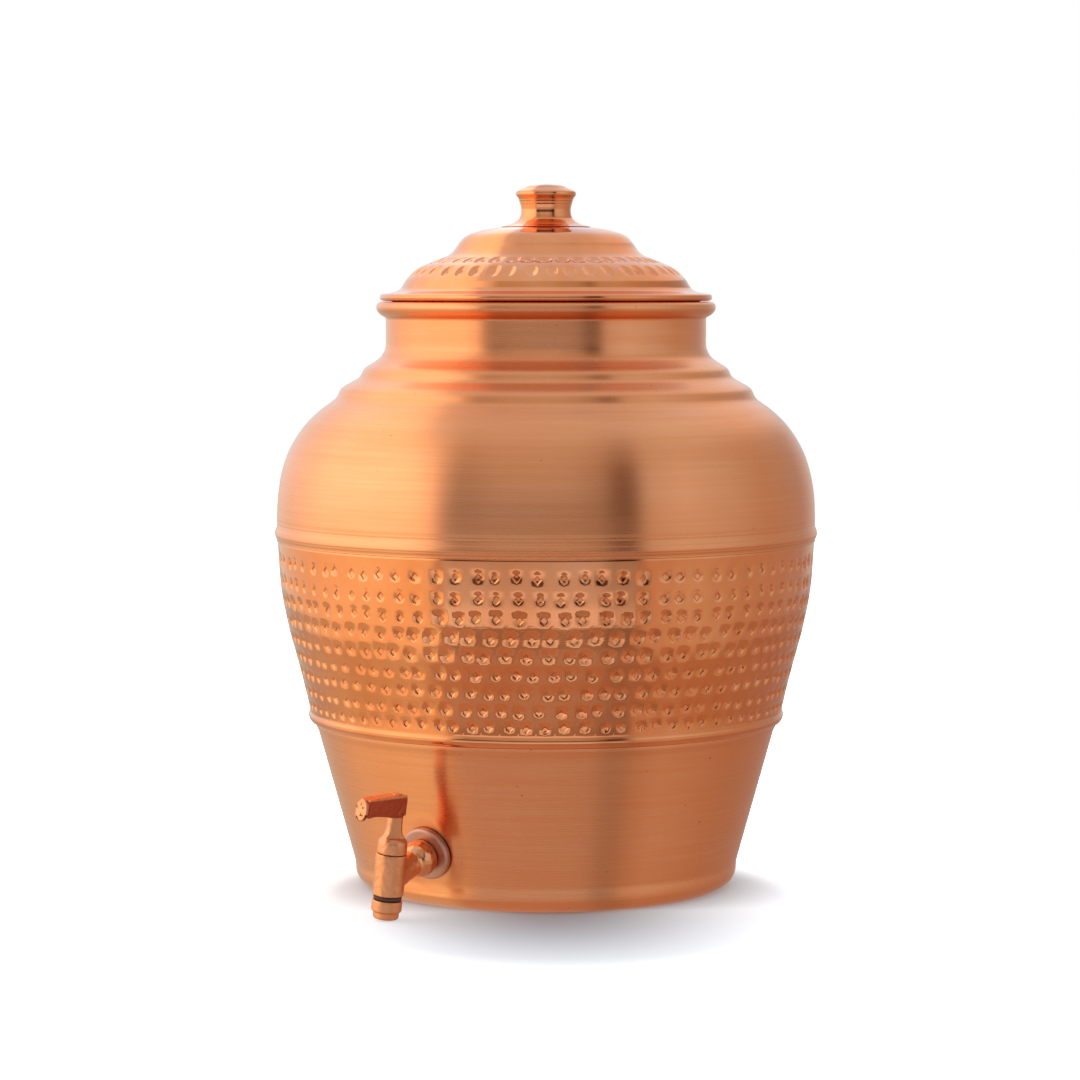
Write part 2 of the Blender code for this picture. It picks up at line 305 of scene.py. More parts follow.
def cast_copper(name, roughness, colour=COPPER_PINK, painted_shade_and_wear=False, boss=False):
    """Plated casting: bright, with tiny bumps and small dark pits; on the lever, painted shade
    on its bar and worn pits on its end pad.
    """
    made, tree, shader = new_material(name, colour, roughness)
    place = object_place(tree)
    cloud = noise(tree, place, 90.0, 3.0)
    tint = ramp(tree, cloud, [(0.3, tuple(c * 0.86 for c in colour)), (0.6, colour)])
    pit = ramp(tree, noise(tree, place, 700.0, 1.0), [(0.76, 0.0), (0.80, 1.0)])
    # painted shade darkens the lever's bar; the end pad gets worn pits
    if painted_shade_and_wear:
        bar, pad = lever_painted_shade_and_wear(tree, place)
        tint = mix_colour(tree, bar, tint, LEVER_PAINTED_SHADE)
        worn = ramp(tree, noise(tree, place, 420.0, 2.0), [(0.56, 0.0), (0.62, 1.0)])
        pit = math_node(tree, "MAXIMUM", pit, math_node(tree, "MULTIPLY", worn, pad))
    feed(shader, "Base Color", mix_colour(tree, pit, tint, PIT_DARK))
    dull = boss_haze(tree, place, roughness) if boss else ramp(
        tree, cloud, [(0.3, roughness * 0.8), (0.7, roughness * 1.3)])
    feed(shader, "Roughness", dull)
    bumped(tree, shader, noise(tree, place, 900.0, 3.0, 0.6), 0.3, 0.00008)
    return made


def turned_brass():
    made, tree, shader = new_material("turned_brass", BRASS_PALE, 0.3)
    cloud = noise(tree, object_place(tree), 130.0, 4.0)
    feed(shader, "Base Color", ramp(tree, cloud, [(0.3, BRASS_DARK), (0.6, BRASS_PALE)]))
    feed(shader, "Roughness", ramp(tree, cloud, [(0.3, 0.42), (0.7, 0.26)]))
    return made


def rubber(name, dark, pale):
    made, tree, shader = new_material(name, dark, 0.6, 0.0)
    grain = noise(tree, object_place(tree), 1400.0, 3.0)
    feed(shader, "Base Color", ramp(tree, grain, [(0.3, dark), (0.7, pale)]))
    bumped(tree, shader, grain, 0.4, 0.00008)
    return made


# ---- hammer dents ----
# Points round a dent, a multiple of 8 so that cells join, and the places of its rings
# from 0 at the punch mark to 1 at its cell's edge
BAND_MESH = (16, (0.0, 0.17, 0.36, 0.57, 0.78, 1.0))
LID_MESH = (32, (0.0, 0.12, 0.24, 0.35, 0.44, 0.52, 0.60, 0.68, 0.76, 0.86, 1.0))
EDGE_ROOM = 0.2             # bare skin kept between the cells and the skin's two ends
END_FADE = 3.0              # dents die out over this much at the skin's two ends
RING_GAP = 0.4              # the first plain ring is at least this far from the cells
MARK_LOW = 0.4              # the punch mark's middle is this far below its row's line
MARK_FLOOR = 0.64           # size of the mark's flat bottom against its rim
BAND_MARK = (2.4, 2.6)      # half width and half height of the band's diamond marks
MARK_DEPTH = 0.45
BOWL_UP = 0.5               # a bowl's middle is this far above its row's line
BOWL_DEPTH = 0.15           # of a round dent, against its radius
SWELL_DEPTH = 0.10          # of the wide, shallow hollow round a dent
LID_MARK = (1.3, 1.4)
OVAL = (4.2, 4.4)           # half width and half height of a dent of the lid's chain
OVAL_DEPTH, OVAL_BOSS = 0.95, 0.65
DROP = (3.5, 4.9)
DROP_DEPTH, DROP_PIT = 1.10, 0.40
SIZES = (0.88, 1.10)        # the dents' sizes and depths vary between these
FORCES = (0.75, 1.12)
ROW_SHIFT = 0.45            # the furthest that a row is turned against the row before


def diamond(across, up, mark):
    """1 on a punch mark's flat floor, falling to 0 at its four-sided rim."""
    inwards = 1 - np.abs(across) / mark[0] - np.abs(up + MARK_LOW) / mark[1]
    return np.clip(inwards / (1 - MARK_FLOOR), 0, 1)


def band_dent(row, across, up, size, hard):
    """A round hammer dent with a flat-bottomed diamond mark a little below its middle."""
    radius = BAND_DENT_R[row]
    away = np.hypot(across, up - BOWL_UP) / (radius * size)
    bowl = np.clip(1 - away ** 2, 0, None) ** 1.1
    swell = np.exp(-(away / 1.5) ** 2)
    mark = diamond(across, up, BAND_MARK)
    return hard * (BOWL_DEPTH * radius * bowl + SWELL_DEPTH * swell + MARK_DEPTH * mark)


def lid_dent(row, across, up, size, hard):
    """Upper row: ovals with a raised middle, like a chain. Lower row: drops with a pit."""
    chain = row == 0
    wide, tall = [np.where(chain, a, b) for a, b in zip(OVAL, DROP)]
    away = np.hypot(across / (wide * size), up / tall)
    bowl = np.clip(1 - away ** 2, 0, None) ** 0.7
    boss = np.exp(-((across / 1.4) ** 2 + (up / 1.7) ** 2))
    pit = np.exp(-(((across - 0.6) / 0.8) ** 2 + ((up + MARK_LOW) / 1.3) ** 2))
    return hard * np.where(chain, OVAL_DEPTH * bowl - OVAL_BOSS * boss,
                           DROP_DEPTH * bowl + DROP_PIT * pit)


def arc_length(line):
    return np.concatenate(([0], np.cumsum(np.linalg.norm(np.diff(line, axis=0), axis=1))))


def ring_strip(rings):
    """Vertices and faces of an open strip through rings of points."""
    rows, columns = rings.shape[:2]
    faces = [(a + j, a + (j + 1) % columns, a + columns + (j + 1) % columns,
              a + columns + j)
             for a in range(0, (rows - 1) * columns, columns) for j in range(columns)]
    return rings.reshape(-1, 3), faces


def joined(name, patches):
    """One object from patches of vertices and faces that share their edges' places."""
    verts, faces, start = [], [], 0
    for patch_verts, patch_faces in patches:
        verts.append(patch_verts)
        faces += [tuple(start + v for v in face) for face in patch_faces]
        start += len(patch_verts)
    return to_object(name, np.concatenate(verts), faces)


def plain_rings(outline, like):
    """Rings for more of the outline, in line with the angles of a ring beside them."""
    angles = np.arctan2(like[:, 1], like[:, 0])
    return np.array([np.column_stack((r * np.cos(angles), r * np.sin(angles),
                                      np.full(len(angles), z))) for r, z in outline])


class Dents:
    """Rows of hand-spaced dents on a turned skin, and a mesh that fits round each one.

    line is the skin's outline and row_places are the rows' places along it. mark is the
    punch mark's half width and half height, and mesh its points round and its rings.
    Columns count dents round a row and cells count rows down the skin.
    """

    def __init__(self, line, row_places, count, dent, mark, mesh, seed, slip_by, lift_by):
        rng = np.random.default_rng(seed)
        rows = len(row_places)
        gaps = np.diff(row_places)
        self.line, self.count, self.rows = line, count, rows
        self.dent, self.mark = dent, mark
        self.rays, self.rings = mesh
        self.along, self.facing = arc_length(line), normals_of(line)
        self.places = np.array(row_places)
        self.knots = np.concatenate(([-0.5], np.arange(rows), [rows - 0.5]))
        first = max(row_places[0] - gaps[0] / 2, EDGE_ROOM)
        last = min(row_places[-1] + gaps[-1] / 2, self.along[-1] - EDGE_ROOM)
        self.knot_places = np.concatenate(([first], row_places, [last]))
        phase = np.cumsum(rng.uniform(-ROW_SHIFT, ROW_SHIFT, rows))
        self.slip = phase[:, None] + rng.uniform(-slip_by, slip_by, (rows, count))
        self.lift = rng.uniform(-lift_by, lift_by, (rows, count))
        self.size = rng.uniform(*SIZES, (rows, count))
        self.hard = rng.uniform(*FORCES, (rows, count))

    def settle(self, columns, cells):
        """Where a point of the even grid of cells goes: turns round, place along."""
        low = np.clip(np.floor(cells).astype(int), 0, self.rows - 2)
        t = np.clip(cells - low, 0, 1)
        ease = t * t * (3 - 2 * t)
        fade = np.clip(1 - 2 * np.maximum(-cells, cells - self.rows + 1), 0, 1)
        left = np.floor(columns).astype(int)
        part = columns - left

        def read(table):
            def at(row):
                return (table[row, left % self.count] * (1 - part)
                        + table[row, (left + 1) % self.count] * part)
            return at(low) * (1 - ease) + at(low + 1) * ease

        places = np.interp(cells, self.knots, self.knot_places)
        return columns + read(self.slip), places + fade * read(self.lift)

    def press(self, turns, s, row, k):
        """Points on the dented skin; row and k name the dent that each is nearest."""
        radii = np.interp(s, self.along, self.line[:, 0])
        heights = np.interp(s, self.along, self.line[:, 1])
        pitch = 2 * math.pi * radii / self.count
        depth = np.zeros_like(s)
        for other in (-1, 0, 1):
            j = np.clip(row + other, 0, self.rows - 1)
            real = (row + other == j)
            for side in (-1, 0, 1):
                i = (k + side) % self.count
                across = (turns - (k + side) - self.slip[j, i]) * pitch
                up = self.places[j] + self.lift[j, i] - s
                depth += real * self.dent(j, across, up, self.size[j, i], self.hard[j, i])
        depth *= np.clip(np.minimum(s, self.along[-1] - s) / END_FADE, 0, 1)
        radii = radii - depth * np.interp(s, self.along, self.facing[:, 0])
        heights = heights - depth * np.interp(s, self.along, self.facing[:, 1])
        angles = turns * 2 * math.pi / self.count
        return np.stack((radii * np.cos(angles), radii * np.sin(angles), heights), -1)

    def cells(self):
        """A patch for every dent: its mark's floor, its rim and rings to its cell's edge."""
        rays = self.rays
        angles = np.arange(rays) * 2 * math.pi / rays
        x, y = np.cos(angles), np.sin(angles)
        furthest = np.maximum(np.abs(x), np.abs(y))
        row, k = [g.ravel()[:, None] for g in np.mgrid[:self.rows, :self.count]]
        edge = self.settle(k + 0.5 * x / furthest, row - 0.5 * y / furthest)
        centre = self.settle(k + 0.0, row + 0.0)
        pitch = 2 * math.pi * np.interp(centre[1], self.along, self.line[:, 0]) / self.count
        reach = 1 / (np.abs(x) / self.mark[0] + np.abs(y) / self.mark[1])
        middle = (centre[0], centre[1] + MARK_LOW)
        rim = (middle[0] + reach * x / pitch, middle[1] - reach * y)
        steps = [tuple(m + (r - m) * MARK_FLOOR for m, r in zip(middle, rim))]
        steps += [tuple(r + (e - r) * w for r, e in zip(rim, edge)) for w in self.rings]
        turns = np.concatenate([middle[0]] + [a for a, b in steps], axis=1)
        s = np.concatenate([middle[1]] + [b for a, b in steps], axis=1)
        verts = self.press(turns, s, row, k)
        size = verts.shape[1]
        one = [(0, 1 + i, 1 + (i + 1) % rays) for i in range(rays)]
        for ring in range(1, size - rays, rays):
            one += [(ring + i, ring + rays + i, ring + rays + (i + 1) % rays,
                     ring + (i + 1) % rays) for i in range(rays)]
        faces = [tuple(start + v for v in face)
                 for start in range(0, len(verts) * size, size) for face in one]
        return verts.reshape(-1, 3), faces

    def margin(self, last):
        """Rings from the dents' first or last edge to the end of the skin's outline."""
        eighth = self.rays // 8
        offsets = 0.5 * np.tan(np.arange(-eighth, eighth) * 2 * math.pi / self.rays)
        columns = (np.arange(self.count)[:, None] + offsets).ravel()
        cells = np.full(len(columns), self.rows - 0.5 if last else -0.5)
        turns, edge = self.settle(columns, cells)
        if last:
            rest = self.along[self.along > edge[0] + RING_GAP]
            places = np.concatenate((edge[:1], rest))
        else:
            rest = self.along[self.along < edge[0] - RING_GAP]
            places = np.concatenate((rest, edge[:1]))
        shape = (len(places), len(columns))
        row = np.full(shape, self.rows - 1 if last else 0)
        k = np.broadcast_to(np.round(columns).astype(int), shape)
        return self.press(np.broadcast_to(turns, shape),
                          np.broadcast_to(places[:, None], shape) + 0.0, row, k)


# ---- the pot ----
NECK_R = 88.3
LIP_R = 93.6
BAND_ROW_Z = (181.8, 170.5, 160.3, 150.0, 140.4, 130.7, 121.0, 110.9, 102.5)
BAND_DENT_R = np.array((4.0, 4.1, 4.2, 4.3, 4.3, 4.2, 3.9, 3.5, 3.1))
DENTS_ROUND_BAND = 84
LID_ROW_R = (60.6, 72.0)
DENTS_ROUND_LID = 43
PRESSED_R = 19.0            # the wall is pressed flat this far round the tap
PRESSED_BLEND = 5.0
DISH_DEPTH, DISH_R = 0.65, 26.0
RIDGE_HEIGHT, RIDGE_R, RIDGE_WIDTH = 0.30, 18.5, 2.4


def spun_ripple(z):
    """Height of the fine spinning ridges that crowd round the seam bead."""
    near = np.exp(-((z - 197.0) / 9.0) ** 2)
    return near * (0.05 * np.sin(z * 2.9) + 0.045 * np.sin(z * 4.7 + 1.0)
                   + 0.03 * np.sin(z * 7.3 + 2.0))


def upper_shell():
    """Rolled lip, neck, two rounded steps, shoulder and seam bead."""
    roll_r = 3.15
    centre = (LIP_R - roll_r, LIP_TOP - roll_r)
    tuck = curve([(88.75, 314.4), (89.9, 315.0), (91.6, 316.2), (93.1, 318.0)], 0.5)
    roll = arc(centre, roll_r, roll_r, -8, 172, 20)
    inner_neck = np.array([(NECK_R - SHEET, z) for z in (317.0, 311.0, 304.0, 299.0)])
    neck = curve([(NECK_R, 314.0), (NECK_R, 306.0), (NECK_R, 299.6), (89.0, 296.3),
                  (91.2, 292.6), (95.0, 289.6), (98.2, 287.7), (100.1, 286.2),
                  (101.3, 284.4), (102.1, 282.6), (103.6, 280.9), (106.8, 279.0),
                  (110.6, 276.9), (112.8, 275.3), (114.0, 273.6), (114.9, 271.5),
                  (116.2, 269.6), (119.0, 267.4), (124.0, 263.8), (131.2, 257.2),
                  (137.1, 249.6), (142.0, 240.8), (145.1, 232.2), (147.2, 223.0),
                  (148.3, 214.0), (148.7, 206.0)], 1.1)
    seam = curve([(148.75, 205.5), (148.7, 200.6), (149.2, 198.6), (SEAM_R - 0.08, 196.3),
                  (149.5, 194.2), (148.95, 192.9), (148.85, 191.6)], 0.35)
    seam[:, 0] = np.minimum(seam[:, 0] + spun_ripple(seam[:, 1]), SEAM_R - 0.02)
    outside = np.vstack((neck, seam))
    inside = (outside - normals_of(outside) * SHEET)[::-1][::4]
    inside = inside[inside[:, 1] < 297.0]
    outline = np.vstack((outside[::-1], tuck, roll, inner_neck, inside[::-1]))
    piece = turned("upper_shell_fine", outline, 300)
    show(piece, "pot", "brushed_copper", BRUSHED, "upper_shell", "rim_wire")


def hammered_band():
    """Nine rows of punched hammer dents between the seam and a half-round bead."""
    belly = curve([(148.25, 191.4), (148.1, 187.0), (147.75, 180.5), (146.9, 168.5),
                   (145.6, 159.2), (144.1, 151.6), (141.9, 141.4), (139.4, 132.0),
                   (136.9, 122.8), (134.2, 112.2), (132.3, 104.2), (130.9, 98.0)], 1.0)
    bead = curve([(130.9, 97.6), (131.2, 97.1), (131.6, 96.5), (131.75, 95.6),
                  (131.6, 94.3), (131.1, 93.0), (130.2, 92.0), (129.4, 91.5)], 0.6)
    rows = np.interp([-z for z in BAND_ROW_Z], -belly[:, 1], arc_length(belly))
    dents = Dents(belly, rows, DENTS_ROUND_BAND, band_dent, BAND_MARK, BAND_MESH,
                  seed=11, slip_by=0.17, lift_by=0.6)
    before, after = dents.margin(last=False), dents.margin(last=True)
    edge = plain_rings(bead, after[-1])
    inside = plain_rings([(128.3, 91.6), (129.7, 99.0), (133.4, 115.0), (139.6, 139.0),
                          (144.0, 159.0), (146.2, 178.0), (146.0, BAND_TOP)], after[-1])
    lap = plain_rings([(147.3, BAND_TOP), (147.3, 196.0), (147.7, 192.6)], before[0])
    round_back = np.concatenate((after, edge, inside, lap, before))
    piece = joined("hammered_band_fine", (dents.cells(), ring_strip(round_back)))
    piece.data.set_sharp_from_angle(angle=math.radians(28))
    show(piece, "pot", "hammered_copper", HAMMERED, "hammered_band")


def tap_press(angles, outline):
    """The wall is pulled in round the tap, and pressed flat where its washers clamp it."""
    radii, heights = outline[:, 0][:, None], outline[:, 1][:, None]
    sideways = (np.mod(angles + 1.5 * math.pi, 2 * math.pi) - math.pi)[None, :]
    away = np.hypot(sideways * radii, heights - TAP_HOLE[2])
    flat = np.clip((PRESSED_R - away) / PRESSED_BLEND, 0, 1)
    flat = flat * flat * (3 - 2 * flat)
    bulge = radii * (1 - np.cos(sideways))
    dish = DISH_DEPTH * np.exp(-(away / DISH_R) ** 2)
    ridge = RIDGE_HEIGHT * np.exp(-((away - RIDGE_R) / RIDGE_WIDTH) ** 2)
    on_wall = (radii > 95.0) & (heights > 8.0) & (np.abs(sideways) < 1.0)
    return np.where(on_wall, flat * (0.8 * bulge + 0.25) + ridge - dish, 0.0), 0.0


def lower_shell():
    """Plain cone with a rounded foot; its base is flat and its top hides in the band."""
    slope = math.tan(WALL_SLOPE)
    wall = [(-TAP_HOLE[1] + (z - TAP_HOLE[2]) * slope, z)
            for z in np.linspace(87.0, 13.5, 52)]
    top = [(128.1, LOWER_TOP), (128.1, 97.0), (128.1, 90.8), (127.6, 89.0)]
    foot = curve([(106.0, 12.0), (105.75, 9.0), (105.1, 6.4), (103.6, 4.0), (101.0, 1.9),
                  (98.4, 0.6), (96.4, 0.0)], 0.8)
    base = [(90.0, 0.0), (60.0, 0.0), (20.0, 0.0), (0.0, 0.0)]
    outside = np.vstack((top, wall, foot, base))
    inside = (outside - normals_of(outside) * SHEET)[::-1][::3]
    inside[0] = (0.0, SHEET)
    loop = np.vstack((inside, [(127.1, LOWER_TOP)], outside))
    piece = turned("lower_shell_fine", loop, 300, closed=False, shift=tap_press)
    show(piece, "pot", "brushed_copper", BRUSHED, "lower_shell")


# ---- the lid ----
def lid_shell():
    """Two-tiered dome with a chain row and a drop row of dents, and a rolled edge."""
    dome = curve([(3.6, 363.85), (12.0, 363.85), (24.0, 363.8), (33.0, 362.6),
                  (38.6, 361.2), (42.6, 359.8), (45.4, 358.0), (47.4, 355.8),
                  (49.2, 353.2), (50.9, 350.9), (52.8, 349.1), (55.0, 347.8),
                  (57.8, 346.6), (62.0, 345.0), (67.0, 343.0), (71.2, 340.6),
                  (74.6, 337.7), (77.2, 334.8), (79.0, 331.9), (80.3, 330.0),
                  (82.3, 328.8), (85.0, 328.0)], 0.8)
    edge_r = 1.95
    centre = (LID_EDGE_R - edge_r - 0.05, 325.35)
    brim = np.vstack((curve([(85.6, 327.85), (87.4, 327.5), (89.0, 327.32)], 0.6),
                      arc(centre, edge_r, edge_r, 80, -105, 14)))
    rows = [float(np.interp(r, dome[:, 0], arc_length(dome))) for r in LID_ROW_R]
    dents = Dents(dome, rows, DENTS_ROUND_LID, lid_dent, LID_MARK, LID_MESH,
                  seed=5, slip_by=0.13, lift_by=0.25)
    before, after = dents.margin(last=False), dents.margin(last=True)
    outside = np.vstack((dome, brim))
    under = (outside - normals_of(outside) * LID_SHEET)[::-1][::3]
    under = under[(under[:, 0] < 88.0) & (np.abs(under[:, 0] - 66.0) > 12.0)]
    low = [(77.0, 332.2), (72.0, 337.6), (66.0, 341.6), (58.0, 344.2), (54.0, 345.6)]
    edge = plain_rings(brim, after[-1])
    inside = plain_rings(np.vstack(([(88.6, 324.3), (89.9, 325.2), (88.9, 326.3)],
                                    under[under[:, 0] > 78.0], low,
                                    under[under[:, 0] < 54.0], [(3.6, 362.95)])),
                         after[-1])
    round_back = np.concatenate((after, edge, inside, before))
    piece = joined("lid_shell_fine", (dents.cells(), ring_strip(round_back)))
    show(piece, "lid", "polished_copper", POLISHED, "lid_shell", "lid_edge_wire")


def lid_collar():
    outline = [(85.0, 325.4), (85.35, 324.0), (85.4, 313.0), (85.25, 311.6),
               (84.95, 311.1), (84.65, 311.6), (84.6, 313.0), (84.6, 325.6)]
    piece = turned("lid_collar_fine", outline, 200)
    show(piece, "lid", "polished_copper", POLISHED, "lid_collar")


def lid_knob():
    """Flared foot, waist with fine turned lines, and a rounded rim with a low crown."""
    side = curve([(24.6, 363.92), (24.7, 364.08), (22.6, 364.6), (20.0, 365.3),
                  (17.6, 366.35), (15.6, 367.7), (14.4, 369.2), (13.8, 371.2), (13.65, 373.0),
                  (13.85, 375.0), (14.4, 377.1), (15.0, 379.0), (15.5, 380.3)], 0.5)
    lines = 0.05 * np.cos(side[:, 1] * 4.0) * (np.abs(side[:, 1] - 377.5) < 2.6)
    side[:, 0] += lines
    rim = curve([(15.95, 380.6), (16.35, 381.2), (16.55, 382.0), (16.45, 382.8),
                 (16.0, 383.5), (14.9, 384.1), (13.2, 384.75), (11.6, 385.4),
                 (10.4, 386.1), (8.8, 386.7), (6.0, 387.1), (3.0, KNOB_TOP - 0.3),
                 (0.0, KNOB_TOP - 0.2)], 0.5)
    rim[-1, 0] = 0.0
    bore = [(0.0, 376.0), (3.3, 376.0), (3.3, 363.92)]
    piece = turned("lid_knob_fine", np.vstack((bore, side, rim)), 128, closed=False,
                   sharp=50)
    show(piece, "lid", "polished_copper", KNOB_COPPER, "lid_knob")


def knob_fixing():
    washer = [(3.3, 361.55), (7.6, 361.55), (8.0, 361.9), (8.0, 362.5), (7.8, 362.68),
              (3.3, 362.68)]
    piece = turned("knob_washer_fine", washer, 64, sharp=30)
    show(piece, "lid", "turned_brass", BRASS, "knob_washer")
    dome = curve([(0.0, 357.85), (2.4, 358.1), (4.2, 358.9), (5.2, 360.2), (5.4, 361.1)],
                 0.4)
    screw = np.vstack((dome, [(5.4, 361.2), (3.0, 361.2), (3.0, 375.4), (0.0, 375.5)]))
    screw[0, 0] = 0.0
    piece = turned("knob_screw_fine", screw, 48, closed=False, sharp=30)
    slot = box_piece("screw_slot", (-6, -0.6, 357.0), (6, 0.6, 359.3))
    cut(piece, slot)
    show(piece, "lid", "turned_brass", BRASS, "knob_screw")


# ---- tools for the tap ----
CAST_ROUNDS = 4             # rounds of smoothing
LUMP_SIZE, LUMP_HEIGHT = 3.2, 0.35


def box_piece(name, low, high, place=None):
    verts = [(x, y, z) for x in (low[0], high[0]) for y in (low[1], high[1])
             for z in (low[2], high[2])]
    faces = [(0, 1, 3, 2), (4, 6, 7, 5), (0, 4, 5, 1), (2, 3, 7, 6), (0, 2, 6, 4),
             (1, 5, 7, 3)]
    return to_object(name, verts, faces, place)


def apply_modifiers(piece):
    depsgraph = bpy.context.evaluated_depsgraph_get()
    mesh = bpy.data.meshes.new_from_object(piece.evaluated_get(depsgraph))
    piece.modifiers.clear()
    piece.data = mesh
    mesh.shade_smooth()


def combine(piece, other, operation):
    boolean = piece.modifiers.new("boolean", "BOOLEAN")
    boolean.operation = operation
    boolean.solver = "EXACT"
    boolean.object = other
    apply_modifiers(piece)
    bpy.data.objects.remove(other, do_unlink=True)


def cut(piece, other):
    combine(piece, other, "DIFFERENCE")


def cast(piece, voxel):
    """Melt a piece's edges and corners together and leave it uneven, as in a casting."""
    remesh = piece.modifiers.new("remesh", "REMESH")
    remesh.mode = "VOXEL"
    remesh.voxel_size = voxel * MM
    smooth = piece.modifiers.new("smooth", "SMOOTH")
    smooth.iterations = CAST_ROUNDS
    smooth.factor = 0.5
    lumps = bpy.data.textures.new("lumps", "CLOUDS")
    lumps.noise_scale = LUMP_SIZE * MM
    lumps.noise_depth = 1
    uneven = piece.modifiers.new("uneven", "DISPLACE")
    uneven.texture = lumps
    uneven.texture_coords = "LOCAL"
    uneven.strength = LUMP_HEIGHT * MM
    uneven.mid_level = 0.6
    apply_modifiers(piece)


def rod(name, radius, low, high, place, columns=64):
    outline = [(0.0, low), (radius, low), (radius, high), (0.0, high)]
    return turned(name, outline, columns, closed=False, place=place)


# ---- the tap ----
TURN = next(j for j in frame["joints"] if j["name"] == "tap_turn")
TURN_AT = Vector(TURN["pos_m"]) / MM
TURN_AXIS = Vector(TURN["axis"])
WALL_SLOPE = math.radians(15.5)
ARM_LENGTH = 36.0
BARREL_DROP = 2.0           # the joint's place is this far below the arm's axis
LEVER_WIDTH = 7.5
LEVER_REACH = 0.05          # metres; the lever's masks count in shares of this
# where the lever's painted shade gives way to its worn pad, and over what share
PAD_FROM, PAINTED_SHADE_EDGE = 0.47, 0.04
THREAD_PITCH, THREAD_DEPTH = 1.0, 0.45
TAP_OUT = Vector((0, -math.cos(WALL_SLOPE), -math.sin(WALL_SLOPE)))
TAP_HOLE = TURN_AT + TURN_AXIS * BARREL_DROP - TAP_OUT * ARM_LENGTH
LEVER_YAW = math.radians(-9.0)

ACROSS = Matrix.Translation(TAP_HOLE * MM) @ TAP_OUT.to_track_quat("Z", "Y").to_matrix().to_4x4()
BARREL = Matrix.Translation(TURN_AT * MM) @ Vector((0, 0, 1)).rotation_difference(
    TURN_AXIS).to_matrix().to_4x4()
KEY = BARREL @ Matrix.Rotation(LEVER_YAW, 4, "Z")


def tap_body():
    """Arm, round boss and upright barrel in one casting, with a threaded shank."""
    outline = curve([(8.7, 4.15), (9.2, 5.0), (9.65, 6.6), (9.85, 8.7), (9.6, 11.0),
                     (8.7, 13.3), (7.5, 15.4), (6.9, 17.5), (6.8, 21.0), (6.9, 25.0),
                     (7.3, 30.0), (7.3, 33.0)], 0.6)
    outline = np.vstack(([(0.0, 4.15)], outline, [(0.0, 33.0)]))
    body = turned("tap_body_fine", outline, 64, closed=False, place=ACROSS)
    combine(body, rod("barrel", 8.25, -6.15, 15.95, BARREL), "UNION")
    cut(body, rod("bore", 5.6, -8.0, 18.0, BARREL))
    cast(body, 0.3)
    heights = -15.4 + 0.1 * np.arange(190)
    waves = 0.5 - 0.5 * np.cos(heights * 2 * math.pi / THREAD_PITCH)
    groove = np.column_stack((6.0 - THREAD_DEPTH * waves, heights))
    thread = np.vstack(([(2.7, -16.0), (5.2, -16.0)], groove, [(6.0, 4.6), (2.7, 4.6)]))
    shank = turned("tap_shank", thread, 48, place=ACROSS)
    combine(body, shank, "UNION")
    show(body, "pot", "tap_copper", BODY_COPPER, "tap_body")


def tap_mounting():
    """Washers, gaskets and lock nut that clamp the shank in the wall."""
    washer = curve([(6.4, 3.75), (9.0, 3.8), (13.0, 3.8), (14.0, 3.5), (14.45, 2.8),
                    (14.5, 1.4), (14.4, 0.4)], 0.5)
    washer = np.vstack((washer, [(13.5, 0.4), (13.2, 2.25), (6.4, 2.25)]))
    piece = turned("tap_washer_outer_fine", washer, 96, place=ACROSS, sharp=50)
    show(piece, "pot", "washer_copper", WASHER_COPPER, "tap_washer_outer")
    for name, outer, low, high, stuff, slot in (
            ("tap_gasket_outer", 12.0, 0.35, 1.9, RUBBER, "black_rubber"),
            ("tap_gasket_inner", 9.5, -4.6, -2.65, RUBBER, "black_rubber"),
            ("tap_washer_inner", 10.5, -6.3, -4.9, BRASS, "turned_brass")):
        bulge = arc((outer - 0.4, (low + high) / 2), 0.4, (high - low) / 2, -90, 90, 8)
        ring = np.vstack(([(6.35, high), (6.35, low)], bulge))
        piece = turned(name + "_fine", ring, 72, place=ACROSS, sharp=40)
        show(piece, "pot", slot, stuff, name)
    nut = turned("tap_lock_nut_fine", [(0.0, -12.55), (8.8, -12.55), (10.35, -11.9),
                                       (10.35, -6.65), (0.0, -6.65)], 72, closed=False,
                 place=ACROSS)
    hexagon = turned("hexagon", [(0.0, -14.0), (10.4, -14.0), (10.4, -5.0), (0.0, -5.0)],
                     6, closed=False, place=ACROSS)
    combine(nut, hexagon, "INTERSECT")
    cut(nut, rod("nut_bore", 6.3, -14.0, -5.0, ACROSS, 48))
    nut.data.set_sharp_from_angle(angle=math.radians(25))
    show(nut, "pot", "turned_brass", BRASS, "tap_lock_nut")


